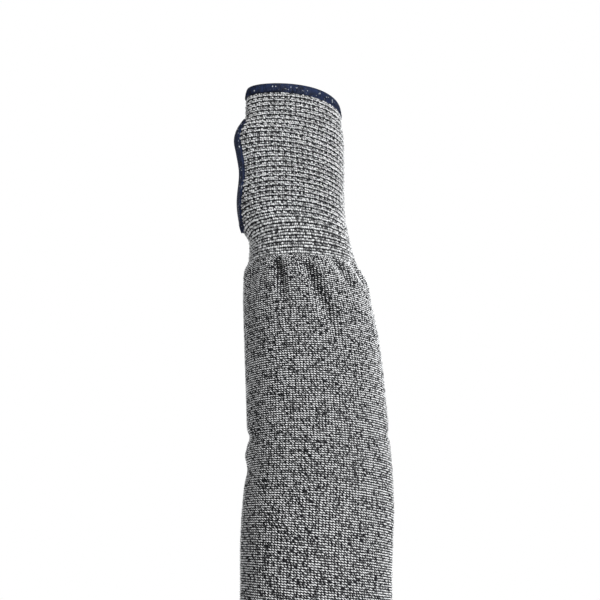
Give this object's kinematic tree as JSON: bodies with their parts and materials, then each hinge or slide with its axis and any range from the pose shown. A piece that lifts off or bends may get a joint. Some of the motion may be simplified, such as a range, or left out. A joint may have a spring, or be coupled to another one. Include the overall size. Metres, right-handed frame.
{
  "type": "cut resistant sleeve",
  "caption": "Knitted forearm sleeve as worn, gathered into an elastic wrist and palm cuff with a bound thumb slot and bound ends.",
  "frame": {"origin": "on the arm's axis at the wrist, where the forearm knit is gathered into the cuff", "axes": "+Z along the arm to the hand, -Y the back of the hand, -X the thumb's side"},
  "size_m": [0.1117, 0.0924, 0.4609],
  "materials": {
    "forearm_knit": "fine reverse-side plain knit in black and white marl yarn, matt",
    "cuff_knit": "coarser elastic knit with cross ribs in black and white marl yarn, matt",
    "binding": "navy overlock thread, slight sheen"
  },
  "bodies": {
    "root": {"forearm_sleeve": "forearm_knit", "wrist_cuff": "cuff_knit", "hand_hem": "binding", "thumb_hem": "binding", "arm_hem": "binding"}
  },
  "joints": []
}
